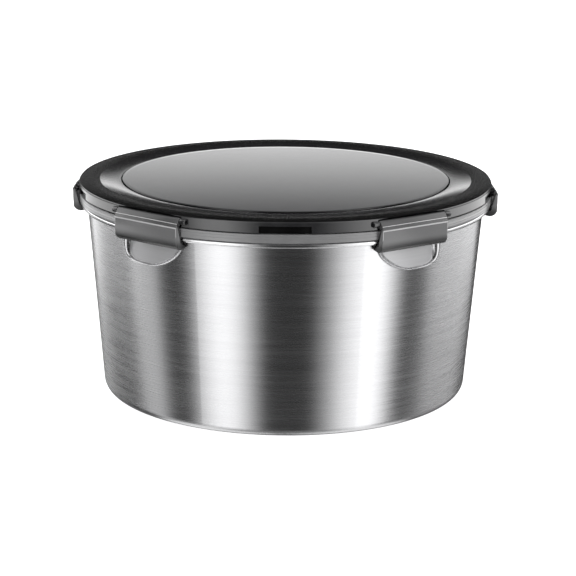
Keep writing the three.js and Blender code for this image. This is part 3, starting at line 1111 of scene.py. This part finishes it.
# Studio lights. Each fills a span of angle across, a span of angle upwards, and has a strength.
# A span names where the light starts, is full, starts to fade and ends, in degrees.
AMBIENT = 0.035
ALL_ROUND = (-1, 0, 180, 181)
BEHIND = (110, 130, 180, 181)
BESIDE = (88, 98, 146, 156)
BOX_RISE = (-54, -40, 46, 60)
WALL_RISE = (-48, -40, 0, 8)
LOW_RISE = (-16, -14.5, -10, -8.5)
TABLE_RISE = (-91, -90, -54, -44)
BACKDROP_RISE = (8.8, 9.4, 9.6, 13.3)
FOOT_RISE = (9.1, 9.4, 10.1, 10.4)
FOOT_STRENGTH = 1.3

# Angles across run from the front at 0 to the right
ONE_SIDED_LIGHTS = {
    "left soft box": ((-62.5, -39.5, -34, -8), BOX_RISE, 1.7),
    "right soft box": ((15, 57, 59, 80), BOX_RISE, 1.9),
    "left wall": ((-105, -96, -84, -75), WALL_RISE, 0.68),
    "right wall": ((74, 114, 134, 152), WALL_RISE, 0.34),
    "rear wall": ((-178, -158, -146, -126), WALL_RISE, 0.18),
    "low left strip": ((-156, -146, -98, -88), LOW_RISE, 2),
    "low right strip": (BESIDE, LOW_RISE, 1.85),
}

# Angles across run from the front at 0 to both sides
TWO_SIDED_LIGHTS = {
    "strips": (BESIDE, (1, 4, 18, 21), 1.5),
    "high strips": ((73, 85, 140, 152), (12, 20, 50, 58), 1.5),
    "backdrop": (BEHIND, BACKDROP_RISE, 1.75),
    "overhead": (ALL_ROUND, (54, 68, 90, 91), 1.1),
    "table": (ALL_ROUND, TABLE_RISE, 0.2),
    "table beside the bowl": ((50, 70, 150, 170), TABLE_RISE, 1),
}


def make_studio():
    """Soft boxes to the front left and right, pale walls at the sides and a low bright backdrop."""
    world = bpy.data.worlds.new("studio")
    world.use_nodes = True
    bpy.context.scene.world = world
    start = Wire(world.node_tree)
    direction = start.node("ShaderNodeTexCoord", output="Generated")
    x, y, z = (start.node("ShaderNodeSeparateXYZ", None, {0: direction}, axis) for axis in "XYZ")
    side = start.math("ARCTAN2", x, y * -1) * math.degrees(1)
    from_front = start.math("ABSOLUTE", side)
    rise = start.math("ARCSINE", z) * math.degrees(1)
    backdrop_start = rise.smooth(*BACKDROP_RISE[:2])
    bright_foot = from_front.span(*BEHIND) * backdrop_start * rise.span(*FOOT_RISE) * FOOT_STRENGTH
    light = AMBIENT + bright_foot
    for across, lights in ((side, ONE_SIDED_LIGHTS), (from_front, TWO_SIDED_LIGHTS)):
        for across_span, rise_span, strength in lights.values():
            light = light + across.span(*across_span) * rise.span(*rise_span) * strength
    feed(world.node_tree.nodes["Background"], {"Color": light})


# Materials
rolled_bead = lined_steel(
    "bright_steel",
    lines=(60, 60, 900),
    detail=2,
    shades=(grey(0.74, 0.01), grey(0.8, 0.01)),
    roughness=0.14,
    spread=0.08,
)
drawn_wire = lined_steel(
    "drawn_wire",
    lines=(400, 400, 3000),
    detail=3,
    shades=(grey(0.3, 0.01), grey(0.45, 0.01)),
    roughness=0.25,
    spread=0.15,
)
satin_black = moulded(
    "satin_black", (grey(0.006), grey(0.01)), roughness=0.27, spread=0.03, specular=0.02
)
gloss_black = moulded("gloss_black", (grey(0.008, 0.001), grey(0.012, 0.001)), roughness=0.1, spread=0.03)
skirt_smoke = moulded(
    "skirt_smoke", (grey(0.03, 0.002), grey(0.04, 0.002)), roughness=0.13, spread=0.04, specular=1
)
# Painted highlight for the latches' crease, rib and end facets
latch_painted_highlight = moulded("latch_painted_highlight", (grey(0.7, 0.005), grey(0.76, 0.005)), roughness=0.26, spread=0.08)
collar_grey = moulded(
    "collar_grey", (grey(0.28, 0.004), grey(0.31, 0.004)), roughness=0.14, spread=0.04, specular=1
)
grey_glass = moulded(
    "grey_glass", ((0.045, 0.046, 0.048, 1), (0.052, 0.053, 0.055, 1)), roughness=0.05, spread=0.01
)
seal_rubber = moulded("seal_rubber", (grey(0.014), grey(0.02)), roughness=0.6, spread=0.1)

# The bowl with its lid, and the scene round it
make_bowl(brushed_steel(), rolled_bead)
make_collar(collar_grey)
make_lid(satin_black, gloss_black, skirt_smoke)
make_panel(grey_glass, gloss_black)
make_seal(seal_rubber)
make_latches(latch_plastic(), latch_painted_highlight, drawn_wire)
make_camera()
make_floor()
make_studio()
bpy.context.scene.view_settings.view_transform = "Standard"
